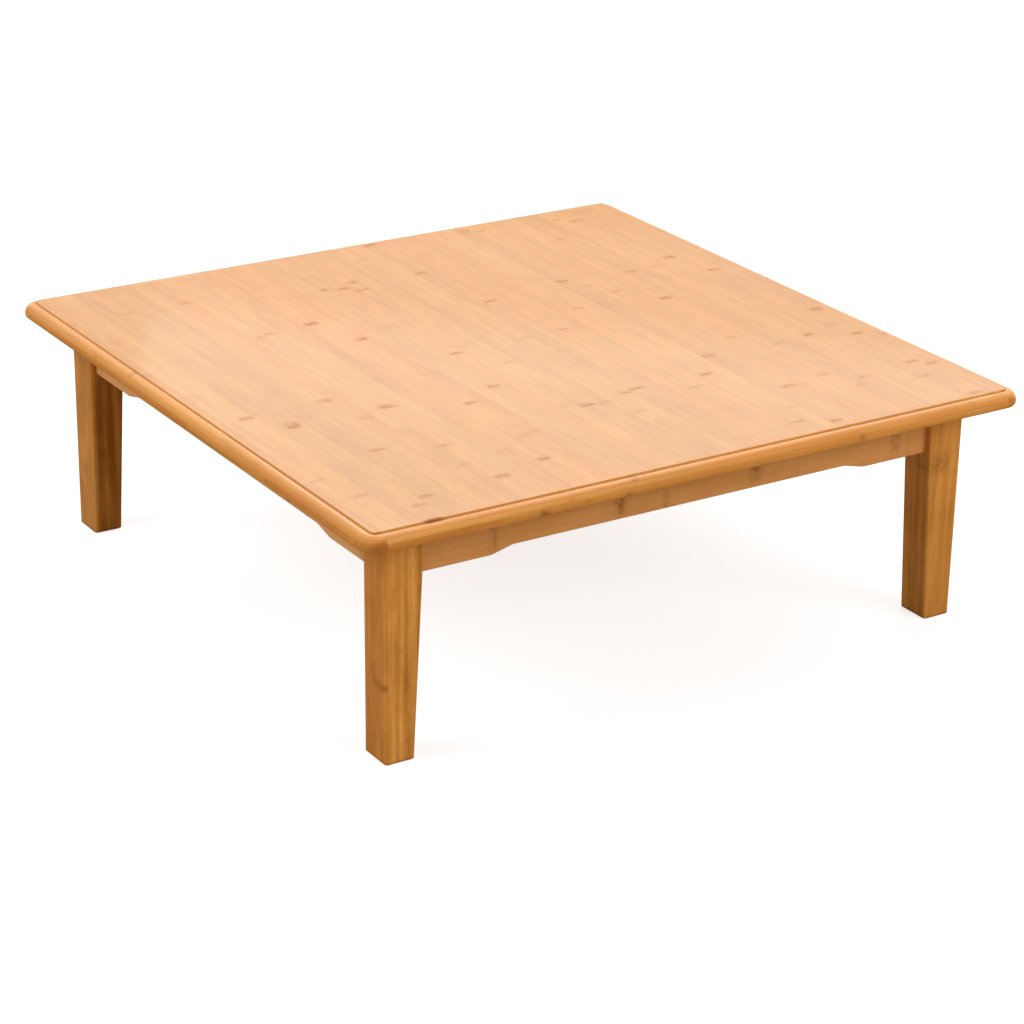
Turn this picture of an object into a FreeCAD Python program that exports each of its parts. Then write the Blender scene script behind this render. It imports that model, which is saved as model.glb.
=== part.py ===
import FreeCAD, Part
import Sketcher

import math
import os

# Low square table of laminated bamboo on four fixed, tapered legs. Millimetres, +Z up, +X to the
# right along the front edge, +Y to the rear, origin on the floor at the middle of the footprint.
# The top is a field panel with a moulded strip along each edge. Under it four stepped aprons run
# from leg to leg, and a diagonal brace in each corner draws the leg in with a hanger bolt.

SIZES = {
    # Whole table
    "table_width": 900,
    "table_depth": 900,
    "table_height": 300,
    # Field panel and the strips around it
    "top_thickness": 20,
    "strip_width": 25,
    "ledge_width": 15,
    "ledge_drop": 2,
    "field_corner": 6,
    "field_ease": 0.6,
    "plan_corner": 25,
    "rim_flat": 1,
    "bottom_nose": 5,
    "tongue_reach": 5,
    "tongue_thickness": 5,
    "tongue_floor": 5,
    "tongue_gap": 0.3,
    # Legs
    "top_overhang": 50,
    "leg_head_x": 48,
    "leg_head_y": 49,
    "leg_foot_x": 38,
    "leg_foot_y": 47,
    "leg_ease": 4,
    "foot_bevel": 1,
    "leg_flat": 12,
    # Aprons
    "apron_height": 61,
    "apron_thickness": 18,
    "apron_setback": 10,
    "apron_relief": 7,
    "shoulder_length": 93,
    "ramp_run": 28,
    "ramp_round": 26,
    "apron_ease": 1.2,
    # Corner braces
    "brace_height": 44,
    "brace_thickness": 20,
    "brace_reach": 54,
    "brace_foot": 36,
    "brace_foot_thickness": 16,
    "brace_screw_edge": 12,
    "brace_screw_spread": 18,
    # Battens and cleats under the panel
    "batten_width": 40,
    "batten_thickness": 18,
    "batten_ease": 2,
    "housing_depth": 5,
    "cleat_length": 60,
    "cleat_width": 20,
    "cleat_screw_spread": 18,
    # Wood screws
    "screw_radius": 2,
    "screw_head_radius": 4,
    "screw_head_height": 2.4,
    "screw_length": 30,
    "long_screw_length": 55,
    "screw_fit": 0.05,
    # Hanger bolts with their washers and nuts
    "bolt_radius": 4,
    "bolt_bite": 35,
    "bolt_stickout": 4,
    "bolt_fit": 0.25,
    "washer_radius": 11,
    "washer_thickness": 1.6,
    "nut_across_flats": 13,
    "nut_height": 6.5,
}

# Shares of the clear span between the aprons, or of the height or length of the piece named
BATTEN_PLACE_SHARES = (-0.2, 0.2)
BATTEN_SCREW_SHARES = (-0.42, -0.14, 0.14, 0.42)
BRACE_SCREW_HEIGHT_SHARES = (0.25, 0.75)

# Quarter turns that carry a piece made for the front round to each side
SIDE_TURNS = {"front": 0, "right": 90, "rear": 180, "left": 270}

# For each corner, the signs of the directions that lead from it to the middle of the table
CORNER_SIGNS = {
    "front_left": (1, 1),
    "front_right": (-1, 1),
    "rear_left": (1, -1),
    "rear_right": (-1, -1),
}

UP = FreeCAD.Vector(0, 0, 1)
ROOT_TWO = math.sqrt(2)
ROOT_THREE = math.sqrt(3)
HEX_SIDES = 6
# Points closer than this are the same point
NEAR = 0.001


class Size:
    """A length: its number, and the expression that ties it to the sheet of sizes."""

    def __init__(self, value, text):
        self.value = value
        self.text = text

    def __add__(self, other):
        return Size(self.value + other.value, f"({self.text} + {other.text})")

    def __sub__(self, other):
        return Size(self.value - other.value, f"({self.text} - {other.text})")

    def __mul__(self, share):
        if share == 0:
            return NOTHING
        return Size(self.value * share, f"({self.text} * {share})")

    def __truediv__(self, count):
        return Size(self.value / count, f"({self.text} / {count})")

    def __neg__(self):
        return self * -1


NOTHING = Size(0, "0")

doc = FreeCAD.newDocument("low_table")


def make_sheet():
    """The sheet of driving sizes. Returns each of them by its name."""
    sheet = doc.addObject("Spreadsheet::Sheet", "Sizes")
    for row, (name, number) in enumerate(SIZES.items(), 1):
        sheet.set(f"A{row}", name)
        sheet.set(f"B{row}", str(number))
        sheet.setAlias(f"B{row}", name)
    doc.recompute()
    return {name: Size(float(sheet.get(name)), f"Sizes.{name}") for name in SIZES}


size = make_sheet()

# Places that several pieces share
underside = size["table_height"] - size["top_thickness"]
rim_thickness = size["top_thickness"] - size["ledge_drop"]
top_nose = rim_thickness - size["bottom_nose"] - size["rim_flat"]
panel_width = size["table_width"] - size["strip_width"] * 2
panel_depth = size["table_depth"] - size["strip_width"] * 2
leg_line_x = size["table_width"] / 2 - size["top_overhang"]
leg_line_y = size["table_depth"] / 2 - size["top_overhang"]
apron_line_x = leg_line_x - size["apron_setback"]
apron_line_y = leg_line_y - size["apron_setback"]
inside_x = apron_line_x - size["apron_thickness"]
inside_y = apron_line_y - size["apron_thickness"]
brace_outer_face = size["brace_reach"] / ROOT_TWO
brace_inner_face = brace_outer_face + size["brace_thickness"]
washer_face = brace_inner_face + size["washer_thickness"]
nut_face = washer_face + size["nut_height"]
bolt_end = nut_face + size["bolt_stickout"]
# Along the diagonal, from where the aprons' inner faces meet to the flat on the leg
corner_to_flat = (size["leg_head_x"] + size["leg_head_y"] - size["leg_flat"]
                  - (size["apron_setback"] + size["apron_thickness"]) * 2) / ROOT_TWO

finished = []


def keep(piece, name):
    """Give a finished piece its name, under which it is written."""
    piece.Label = name
    finished.append(piece)


def bind(item, prop, length):
    item.setExpression(prop, length.text)


def place(item, x, y, z, turn=0):
    """Stand an object at a place, turned about the upright."""
    base = FreeCAD.Vector(x.value, y.value, z.value)
    item.Placement = FreeCAD.Placement(base, FreeCAD.Rotation(UP, turn))
    bind(item, "Placement.Base.x", x)
    bind(item, "Placement.Base.y", y)
    bind(item, "Placement.Base.z", z)


def new_body(name):
    return doc.addObject("PartDesign::Body", name)


def attached_sketch(body, name, plane_role, lift):
    """An empty sketch on one of the body's own planes, or at a height over it."""
    planes = {plane.Role: plane for plane in body.Origin.OriginFeatures}
    sketch = body.newObject("Sketcher::SketchObject", name)
    sketch.AttachmentSupport = [(planes[plane_role], "")]
    sketch.MapMode = "FlatFace"
    bind(sketch, "AttachmentOffset.Base.z", lift)
    return sketch


def polygon(body, name, plane_role, points, lift=NOTHING):
    """A closed outline of straight lines through the points, each tied to the sheet."""
    sketch = attached_sketch(body, name, plane_role, lift)
    spots = [FreeCAD.Vector(across.value, up.value, 0) for across, up in points]
    for number, spot in enumerate(spots):
        following = spots[(number + 1) % len(spots)]
        sketch.addGeometry(Part.LineSegment(spot, following))
    for number in range(len(spots)):
        following = (number + 1) % len(spots)
        sketch.addConstraint(Sketcher.Constraint("Coincident", number, 2, following, 1))
    for number, (across, up) in enumerate(points):
        tie(sketch, number, "DistanceX", -2, across)
        tie(sketch, number, "DistanceY", -1, up)
    return sketch


def tie(sketch, number, kind, axis, length):
    """Hold a line's first point on an axis, or at a length from the sketch's origin."""
    if length.value == 0:
        sketch.addConstraint(Sketcher.Constraint("PointOnObject", number, 1, axis))
        return
    rule = sketch.addConstraint(Sketcher.Constraint(kind, -1, 1, number, 1, length.value))
    sketch.setExpression(f"Constraints[{rule}]", length.text)


def rounded_section(body, name, x_span, y_span, radius, lift):
    """A level rectangle with rounded corners. Its arcs follow its sides, four of each."""
    sketch = attached_sketch(body, name, "XY_Plane", lift)
    x_low, x_high = sorted(x_span, key=lambda length: length.value)
    y_low, y_high = sorted(y_span, key=lambda length: length.value)
    r = radius.value
    left, right, front, rear = x_low.value, x_high.value, y_low.value, y_high.value
    sides = [
        ((left + r, front), (right - r, front)),
        ((right, front + r), (right, rear - r)),
        ((right - r, rear), (left + r, rear)),
        ((left, rear - r), (left, front + r)),
    ]
    centres = [(right - r, front + r), (right - r, rear - r), (left + r, rear - r), (left + r, front + r)]
    for start, end in sides:
        sketch.addGeometry(Part.LineSegment(FreeCAD.Vector(*start, 0), FreeCAD.Vector(*end, 0)))
    quarter = math.pi / 2
    for number, centre in enumerate(centres):
        circle = Part.Circle(FreeCAD.Vector(*centre, 0), UP, r)
        sketch.addGeometry(Part.ArcOfCircle(circle, (number - 1) * quarter, number * quarter))
    count = len(sides)
    for number in range(count):
        arc = count + number
        following = (number + 1) % count
        sketch.addConstraint(Sketcher.Constraint("Tangent", number, 2, arc, 1))
        sketch.addConstraint(Sketcher.Constraint("Tangent", arc, 2, following, 1))
        sketch.addConstraint(Sketcher.Constraint("Vertical" if number % 2 else "Horizontal", number))
        if number:
            sketch.addConstraint(Sketcher.Constraint("Equal", count, arc))
    rule = sketch.addConstraint(Sketcher.Constraint("Radius", count, r))
    sketch.setExpression(f"Constraints[{rule}]", radius.text)
    for number, length in enumerate((y_low, x_high, y_high, x_low)):
        if number % 2:
            tie(sketch, number, "DistanceX", -2, length)
        else:
            tie(sketch, number, "DistanceY", -1, length)
    return sketch


def rectangle(x_low, x_high, y_low, y_high):
    return [(x_low, y_low), (x_high, y_low), (x_high, y_high), (x_low, y_high)]


def pad(body, name, sketch, length, backwards=False):
    feature = body.newObject("PartDesign::Pad", name)
    feature.Profile = sketch
    feature.Reversed = backwards
    bind(feature, "Length", length)
    return feature


def cut_box(body, name, low, spans):
    """Take a box out of the body, from its low corner."""
    feature = body.newObject("PartDesign::SubtractiveBox", name)
    for prop, length in zip(("Length", "Width", "Height"), spans):
        bind(feature, prop, length)
    for axis, length in zip("xyz", low):
        bind(feature, f"Placement.Base.{axis}", length)


def dress_edges(body, kind, name, wanted):
    """A fillet or a chamfer on every edge of the body that is wanted."""
    doc.recompute()
    base = body.Tip
    names = [f"Edge{number}" for number, edge in enumerate(base.Shape.Edges, 1) if wanted(edge)]
    feature = body.newObject(f"PartDesign::{kind}", name)
    feature.Base = (base, names)
    return feature


def round_edges(body, name, radius, wanted):
    bind(dress_edges(body, "Fillet", name, wanted), "Radius", radius)


def bevel_edges(body, name, length, wanted):
    bind(dress_edges(body, "Chamfer", name, wanted), "Size", length)


def same(a, b):
    return abs(a - b) < NEAR


def lies_at(edge, axis, length):
    """Whether the whole edge keeps to one place along an axis."""
    box = edge.BoundBox
    low = getattr(box, f"{axis}Min")
    high = getattr(box, f"{axis}Max")
    return same(low, length.value) and same(high, length.value)


# Fasteners. Each is made once, lying along +Z from its seat at the origin, and a hole for it has
# the same shank grown by its fit, so that every hole has the place and depth of its fastener.


def screw_form(name, length):
    """A wood screw, with its head behind the origin.

    The screws are small and many, so their round forms have six flat sides each.
    """
    body = screw_shank(name, length, size["screw_radius"])
    head = six_sided(body, f"{name}_head_outline", size["screw_head_radius"],
                     -size["screw_head_height"])
    pad(body, f"{name}_head", head, size["screw_head_height"])
    return body


def screw_hole_form(name, length):
    return screw_shank(name, length + size["screw_fit"], size["screw_radius"] + size["screw_fit"])


def screw_shank(name, length, radius):
    body = new_body(name)
    outline = six_sided(body, f"{name}_shank_outline", radius, NOTHING)
    pad(body, f"{name}_shank", outline, length)
    return body


def six_sided(body, name, radius, level):
    """A regular outline about the body's upright axis."""
    turns = [number * 2 * math.pi / HEX_SIDES for number in range(HEX_SIDES)]
    points = [(radius * math.cos(turn), radius * math.sin(turn)) for turn in turns]
    return polygon(body, name, "XY_Plane", points, level)


def rod_form(name, radius, length):
    rod = doc.addObject("Part::Cylinder", name)
    bind(rod, "Radius", radius)
    bind(rod, "Height", length)
    return rod


def ring_form(name, outer, thickness):
    """A flat piece with the bolt's clearance hole through it."""
    ring = doc.addObject("Part::Cut", name)
    ring.Base = outer
    ring.Tool = rod_form(f"{name}_hole", size["bolt_radius"] + size["bolt_fit"], thickness)
    return ring


def washer_form():
    disc = rod_form("washer_disc", size["washer_radius"], size["washer_thickness"])
    return ring_form("washer", disc, size["washer_thickness"])


def nut_form():
    hexagon = doc.addObject("Part::Prism", "nut_hexagon")
    hexagon.Polygon = HEX_SIDES
    bind(hexagon, "Circumradius", size["nut_across_flats"] / ROOT_THREE)
    bind(hexagon, "Height", size["nut_height"])
    return ring_form("nut", hexagon, size["nut_height"])


def group(name, form, seats):
    """Copies of one form, each at its seat: a place and the way its inner end points."""
    links = []
    for number, (x, y, z, way) in enumerate(seats, 1):
        link = doc.addObject("App::Link", f"{name}_{number}")
        link.LinkedObject = form
        base = FreeCAD.Vector(x.value, y.value, z.value)
        link.Placement = FreeCAD.Placement(base, FreeCAD.Rotation(UP, FreeCAD.Vector(*way)))
        bind(link, "Placement.Base.x", x)
        bind(link, "Placement.Base.y", y)
        bind(link, "Placement.Base.z", z)
        links.append(link)
    together = doc.addObject("Part::Compound", name)
    together.Links = links
    return together


def drilled(name, blank, *holes):
    """The finished piece: its blank less the holes for the fasteners that enter it."""
    if len(holes) == 1:
        tool = holes[0]
    else:
        tool = doc.addObject("Part::Compound", f"{name}_holes")
        tool.Links = list(holes)
    piece = doc.addObject("Part::Cut", f"{name}_drilled")
    piece.Base = blank
    piece.Tool = tool
    keep(piece, name)


# Places of the sides and corners


def side_point(side, along, inward, line_x=apron_line_x, line_y=apron_line_y):
    """A place on one side, from the middle of its outer face, along it and in from it."""
    turn = math.radians(SIDE_TURNS[side])
    cosine = round(math.cos(turn))
    sine = round(math.sin(turn))
    x = along * cosine - inward * sine + line_x * sine
    y = along * sine + inward * cosine - line_y * cosine
    return x, y


def inward_way(side):
    turn = math.radians(SIDE_TURNS[side])
    return (-round(math.sin(turn)), round(math.cos(turn)), 0)


def outward_way(side):
    return tuple(-part for part in inward_way(side))


def corner_point(corner, x_in, y_in):
    """A place in from the corner where two aprons' inner faces meet."""
    sign_x, sign_y = CORNER_SIGNS[corner]
    return (x_in - inside_x) * sign_x, (y_in - inside_y) * sign_y


# Where the fasteners sit


def bolt_seats(outer_end):
    """One seat per corner, on the diagonal, at a distance from the aprons' inner corner."""
    level = underside - size["brace_height"] / 2
    reach = outer_end / ROOT_TWO
    seats = []
    for corner, (sign_x, sign_y) in CORNER_SIGNS.items():
        x, y = corner_point(corner, reach, reach)
        seats.append((x, y, level, (-sign_x, -sign_y, 0)))
    return seats


def brace_screw_seats():
    """Two screws through each foot of each brace, into the apron behind it."""
    along = size["brace_reach"] + size["brace_foot"] - size["brace_screw_edge"]
    face = size["brace_foot_thickness"]
    seats = []
    for corner, (sign_x, sign_y) in CORNER_SIGNS.items():
        for share in BRACE_SCREW_HEIGHT_SHARES:
            level = underside - size["brace_height"] * share
            x, y = corner_point(corner, along, face)
            seats.append((x, y, level, (0, -sign_y, 0)))
            x, y = corner_point(corner, face, along)
            seats.append((x, y, level, (-sign_x, 0, 0)))
    return seats


def brace_top_screw_seats():
    """Two long screws up through each brace, one either side of its bolt."""
    level = underside - size["brace_height"]
    middle = (size["brace_reach"] + size["brace_thickness"] / ROOT_TWO) / 2
    near = middle - size["brace_screw_spread"]
    far = middle + size["brace_screw_spread"]
    seats = []
    for corner in CORNER_SIGNS:
        for x_in, y_in in ((near, far), (far, near)):
            x, y = corner_point(corner, x_in, y_in)
            seats.append((x, y, level, (0, 0, 1)))
    return seats


def batten_screw_seats():
    level = underside - size["batten_thickness"]
    seats = []
    for place_share in BATTEN_PLACE_SHARES:
        for screw_share in BATTEN_SCREW_SHARES:
            x = inside_x * (2 * screw_share)
            y = inside_y * (2 * place_share)
            seats.append((x, y, level, (0, 0, 1)))
    return seats


def cleat_screw_seats():
    """Two screws up into the panel and one into the apron, in each cleat."""
    face = size["apron_thickness"] + size["cleat_width"]
    middle = size["apron_thickness"] + size["cleat_width"] / 2
    seats = []
    for side in SIDE_TURNS:
        for along in (-size["cleat_screw_spread"], size["cleat_screw_spread"]):
            x, y = side_point(side, along, middle)
            seats.append((x, y, underside - size["cleat_width"], (0, 0, 1)))
        x, y = side_point(side, NOTHING, face)
        seats.append((x, y, underside - size["cleat_width"] / 2, outward_way(side)))
    return seats


# Wooden pieces, before their holes are drilled


def panel_blank():
    """The panel of slats that the strips go round, with a tongue to hold them."""
    body = new_body("top_panel_blank")
    outline = rectangle(-panel_width / 2, panel_width / 2, -panel_depth / 2, panel_depth / 2)
    pad(body, "panel_board", polygon(body, "panel_outline", "XY_Plane", outline), size["top_thickness"])
    reach_x = panel_width / 2 + size["tongue_reach"]
    reach_y = panel_depth / 2 + size["tongue_reach"]
    tongue = rectangle(-reach_x, reach_x, -reach_y, reach_y)
    sketch = polygon(body, "tongue_outline", "XY_Plane", tongue, size["tongue_floor"])
    pad(body, "tongue", sketch, size["tongue_thickness"])
    place(body, NOTHING, NOTHING, underside)
    return body


def edge_strip(side):
    """A moulded strip. Those at the left and right run through, and close the corners.

    The top is moulded once its strips are on: the ledge is cut into them, which leaves the field
    raised, and the edge under it is rounded. So each strip is cut from a board as large as the
    top, with the whole moulding on it.
    """
    runs_through = side in ("left", "right")
    width = size["strip_width"]
    ledge = size["ledge_width"]
    if runs_through:
        length, breadth, seam = size["table_depth"], size["table_width"], panel_depth
    else:
        length, breadth, seam = size["table_width"], size["table_depth"], panel_width
    body = new_body(f"edge_strip_{side}")
    plan = rounded_section(body, f"plan_{side}", (-length / 2, length / 2), (NOTHING, breadth),
                           size["plan_corner"], NOTHING)
    pad(body, f"rim_{side}", plan, rim_thickness)
    round_edges(body, f"upper_nose_{side}", top_nose, lambda edge: lies_at(edge, "Z", rim_thickness))
    round_edges(body, f"lower_nose_{side}", size["bottom_nose"], lambda edge: lies_at(edge, "Z", NOTHING))
    field = rounded_section(body, f"field_{side}", (ledge - length / 2, length / 2 - ledge),
                            (ledge, breadth - ledge), size["field_corner"], rim_thickness)
    pad(body, f"raised_field_{side}", field, size["ledge_drop"])
    bevel_edges(body, f"field_edge_{side}", size["field_ease"],
                lambda edge: lies_at(edge, "Z", size["top_thickness"]))
    cut_box(body, f"field_side_{side}", (-length / 2, width, NOTHING),
            (length, breadth - width, size["top_thickness"]))
    if not runs_through:
        for end, low in (("left", -length / 2), ("right", seam / 2)):
            cut_box(body, f"{end}_seam_{side}", (low, NOTHING, NOTHING),
                    (width, width, size["top_thickness"]))
    groove_depth = size["tongue_reach"] + size["tongue_gap"]
    groove_length = seam + groove_depth * 2 if runs_through else seam
    cut_box(body, f"groove_{side}",
            (-groove_length / 2, width - groove_depth, size["tongue_floor"]),
            (groove_length, groove_depth, size["tongue_thickness"]))
    x, y = side_point(side, NOTHING, NOTHING, size["table_width"] / 2, size["table_depth"] / 2)
    place(body, x, y, underside, SIDE_TURNS[side])
    keep(body, f"edge_strip_{side}")


def leg_blank(corner):
    """A leg with a straight head, a shank tapered on its inner faces and a flat for the bolt."""
    sign_x, sign_y = CORNER_SIGNS[corner]
    head_x = size["leg_head_x"] * sign_x
    head_y = size["leg_head_y"] * sign_y
    foot_x = size["leg_foot_x"] * sign_x
    foot_y = size["leg_foot_y"] * sign_y
    bevel_x = size["foot_bevel"] * sign_x
    bevel_y = size["foot_bevel"] * sign_y
    shank_top = underside - size["apron_height"]
    body = new_body(f"leg_{corner}_blank")

    def section(name, x_span, y_span, level):
        return rounded_section(body, f"{name}_{corner}", x_span, y_span, size["leg_ease"], level)

    head = section("head", (NOTHING, head_x), (NOTHING, head_y), shank_top)
    pad(body, f"head_post_{corner}", head, size["apron_height"])
    shank = body.newObject("PartDesign::AdditiveLoft", f"shank_{corner}")
    shank.Profile = section("sole", (bevel_x, foot_x - bevel_x), (bevel_y, foot_y - bevel_y), NOTHING)
    foot = section("foot", (NOTHING, foot_x), (NOTHING, foot_y), size["foot_bevel"])
    knee = section("knee", (NOTHING, head_x), (NOTHING, head_y), shank_top)
    shank.Sections = [foot, knee]
    shank.Ruled = True
    flat_x = head_x - size["leg_flat"] * sign_x
    flat_y = head_y - size["leg_flat"] * sign_y
    wedge = [(head_x, flat_y), (head_x, head_y), (flat_x, head_y)]
    flat = body.newObject("PartDesign::Pocket", f"bolt_flat_{corner}")
    flat.Profile = polygon(body, f"bolt_flat_{corner}_wedge", "XY_Plane", wedge, underside)
    bind(flat, "Length", size["brace_height"])
    place(body, leg_line_x * -sign_x, leg_line_y * -sign_y, NOTHING)
    return body


def apron_blank(side):
    """An apron whose lower edge steps up to a shallow middle over two short ramps."""
    is_side = side in ("left", "right")
    if is_side:
        half = leg_line_y - size["leg_head_y"]
    else:
        half = leg_line_x - size["leg_head_x"]
    ramp_foot = half - size["shoulder_length"]
    ramp_top = ramp_foot - size["ramp_run"]
    relief = size["apron_relief"]
    height = size["apron_height"]
    thickness = size["apron_thickness"]
    right_half = [(ramp_top, relief), (ramp_foot, NOTHING), (half, NOTHING), (half, height)]
    left_half = [(-across, up) for across, up in reversed(right_half)]
    body = new_body(f"apron_{side}_blank")
    sketch = polygon(body, f"outline_{side}", "XZ_Plane", left_half + right_half)
    pad(body, f"board_{side}", sketch, thickness, backwards=True)

    def is_ramp_corner(edge):
        middle = edge.CenterOfMass
        across = abs(middle.x)
        at_ramp = same(across, ramp_top.value) or same(across, ramp_foot.value)
        return at_ramp and edge.BoundBox.YLength > NEAR

    def is_lower_arris(edge):
        on_face = lies_at(edge, "Y", NOTHING) or lies_at(edge, "Y", thickness)
        below = edge.BoundBox.ZMax < relief.value + NEAR
        return on_face and below

    round_edges(body, f"ramp_corners_{side}", size["ramp_round"], is_ramp_corner)
    bevel_edges(body, f"lower_arris_{side}", size["apron_ease"], is_lower_arris)
    if is_side:
        for number, share in enumerate(BATTEN_PLACE_SHARES, 1):
            middle = inside_y * (2 * share)
            low = (middle - size["batten_width"] / 2, thickness - size["housing_depth"],
                   height - size["batten_thickness"])
            spans = (size["batten_width"], size["housing_depth"], size["batten_thickness"])
            cut_box(body, f"housing_{side}_{number}", low, spans)
    x, y = side_point(side, NOTHING, NOTHING)
    place(body, x, y, underside - height, SIDE_TURNS[side])
    return body


def brace_blank(corner):
    """A diagonal block whose two feet lie flat against the aprons."""
    sign_x, sign_y = CORNER_SIGNS[corner]
    reach = size["brace_reach"]
    toe = reach + size["brace_foot"]
    face = size["brace_foot_thickness"]
    heel = reach + size["brace_thickness"] * ROOT_TWO - face
    half = [(reach, NOTHING), (toe, NOTHING), (toe, face), (heel, face)]
    other_half = [(up, across) for across, up in reversed(half)]
    points = [(across * sign_x, up * sign_y) for across, up in half + other_half]
    body = new_body(f"brace_{corner}_blank")
    pad(body, f"block_{corner}", polygon(body, f"block_plan_{corner}", "XY_Plane", points),
        size["brace_height"])
    x, y = corner_point(corner, NOTHING, NOTHING)
    place(body, x, y, underside - size["brace_height"])
    return body


def batten_blank(name, share):
    """A rail across the slats, let into the two side aprons."""
    half = inside_x + size["housing_depth"]
    width = size["batten_width"]
    body = new_body(f"{name}_blank")
    outline = rectangle(-half, half, -width / 2, width / 2)
    pad(body, f"{name}_rail", polygon(body, f"{name}_plan", "XY_Plane", outline),
        size["batten_thickness"])
    round_edges(body, f"{name}_lower_arris", size["batten_ease"],
                lambda edge: lies_at(edge, "Z", NOTHING) and edge.BoundBox.XLength > NEAR)
    place(body, NOTHING, inside_y * (2 * share), underside - size["batten_thickness"])
    return body


def cleat_blank(side):
    """A block in the angle between an apron's middle and the top."""
    half = size["cleat_length"] / 2
    inner = size["apron_thickness"]
    outline = rectangle(-half, half, inner, inner + size["cleat_width"])
    body = new_body(f"cleat_{side}_blank")
    pad(body, f"cleat_block_{side}", polygon(body, f"cleat_plan_{side}", "XY_Plane", outline),
        size["cleat_width"])
    x, y = side_point(side, NOTHING, NOTHING)
    place(body, x, y, underside - size["cleat_width"], SIDE_TURNS[side])
    return body


def build_table():
    """Make the fasteners and their holes, then every wooden piece."""
    screw = screw_form("screw", size["screw_length"])
    screw_hole = screw_hole_form("screw_hole", size["screw_length"])
    long_screw = screw_form("long_screw", size["long_screw_length"])
    long_hole = screw_hole_form("long_screw_hole", size["long_screw_length"])
    bolt_length = bolt_end - corner_to_flat + size["bolt_bite"]
    bolt = rod_form("bolt", size["bolt_radius"], bolt_length)
    bolt_hole = rod_form("bolt_hole", size["bolt_radius"] + size["bolt_fit"],
                         bolt_length + size["bolt_fit"])
    seats_of = {
        "brace_screws": (screw, screw_hole, brace_screw_seats()),
        "brace_top_screws": (long_screw, long_hole, brace_top_screw_seats()),
        "batten_screws": (screw, screw_hole, batten_screw_seats()),
        "cleat_screws": (screw, screw_hole, cleat_screw_seats()),
        "hanger_bolts": (bolt, bolt_hole, bolt_seats(bolt_end)),
    }
    holes = {}
    for name, (form, hole, seats) in seats_of.items():
        keep(group(f"{name}_group", form, seats), name)
        holes[name] = group(f"{name}_hole", hole, seats)
    keep(group("washer_group", washer_form(), bolt_seats(washer_face)), "bolt_washers")
    keep(group("nut_group", nut_form(), bolt_seats(nut_face)), "bolt_nuts")

    drilled("top_panel", panel_blank(), holes["brace_top_screws"], holes["batten_screws"],
            holes["cleat_screws"])
    for side in SIDE_TURNS:
        edge_strip(side)
        drilled(f"apron_{side}", apron_blank(side), holes["brace_screws"], holes["cleat_screws"])
        drilled(f"cleat_{side}", cleat_blank(side), holes["cleat_screws"])
    for corner in CORNER_SIGNS:
        drilled(f"leg_{corner}", leg_blank(corner), holes["hanger_bolts"])
        drilled(f"brace_{corner}", brace_blank(corner), holes["brace_screws"],
                holes["brace_top_screws"], holes["hanger_bolts"])
    for name, share in zip(("batten_front", "batten_rear"), BATTEN_PLACE_SHARES):
        drilled(name, batten_blank(name, share), holes["batten_screws"])
    doc.recompute()


def check_table():
    """Stop if any object failed, or a finished piece isn't sound."""
    for item in doc.Objects:
        if "Invalid" in item.State or "Error" in item.State:
            raise RuntimeError(f"{item.Label} failed: {item.State}")
    for piece in finished:
        if piece.Shape.isNull() or not piece.Shape.isValid() or not piece.Shape.Solids:
            raise RuntimeError(f"{piece.Label} has no sound solid")


def write_table():
    os.makedirs("parts", exist_ok=True)
    for piece in finished:
        piece.Shape.exportStep(f"parts/{piece.Label}.step")
        box = piece.Shape.BoundBox
        print(f"{piece.Label}: {len(piece.Shape.Solids)} solids, {piece.Shape.Volume / 1000:.1f} cm3,"
              f" x {box.XMin:.1f} to {box.XMax:.1f}, y {box.YMin:.1f} to {box.YMax:.1f},"
              f" z {box.ZMin:.1f} to {box.ZMax:.1f}")


build_table()
check_table()
write_table()
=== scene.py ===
import math
from collections import namedtuple

import bmesh
import bpy
import numpy as np
from mathutils import Matrix, Vector


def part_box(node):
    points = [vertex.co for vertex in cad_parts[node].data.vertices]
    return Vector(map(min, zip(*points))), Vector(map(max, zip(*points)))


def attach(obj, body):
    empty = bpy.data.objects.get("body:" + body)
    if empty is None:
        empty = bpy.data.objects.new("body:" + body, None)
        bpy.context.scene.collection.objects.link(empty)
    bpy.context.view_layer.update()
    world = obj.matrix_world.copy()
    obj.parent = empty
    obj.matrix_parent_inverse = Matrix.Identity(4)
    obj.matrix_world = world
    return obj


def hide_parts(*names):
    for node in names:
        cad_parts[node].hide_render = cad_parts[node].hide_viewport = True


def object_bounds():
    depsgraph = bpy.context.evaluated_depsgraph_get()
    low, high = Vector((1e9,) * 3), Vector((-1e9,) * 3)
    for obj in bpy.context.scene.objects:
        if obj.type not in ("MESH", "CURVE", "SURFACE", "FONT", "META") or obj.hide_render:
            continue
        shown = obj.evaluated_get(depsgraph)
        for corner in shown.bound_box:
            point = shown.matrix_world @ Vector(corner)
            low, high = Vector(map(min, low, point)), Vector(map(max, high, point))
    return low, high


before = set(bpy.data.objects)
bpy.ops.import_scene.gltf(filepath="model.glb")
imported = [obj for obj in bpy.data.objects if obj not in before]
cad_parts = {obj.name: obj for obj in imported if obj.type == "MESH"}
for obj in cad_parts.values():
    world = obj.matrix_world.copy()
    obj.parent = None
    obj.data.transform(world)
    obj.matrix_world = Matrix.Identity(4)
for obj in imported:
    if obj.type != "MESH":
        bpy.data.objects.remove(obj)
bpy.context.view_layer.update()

# A low square table of laminated bamboo: its wood, its steel fasteners and a plain studio around it.
# Lengths are in metres, +Z is up, the front edge runs along X, and the slats of the top run along Y.

MM = 0.001
WHITE = (1.0, 1.0, 1.0, 1.0)
X_AXIS, Y_AXIS, Z_AXIS = (1.0, 0.0, 0.0), (0.0, 1.0, 0.0), (0.0, 0.0, 1.0)
HALF_ROOT = math.sqrt(0.5)
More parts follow.
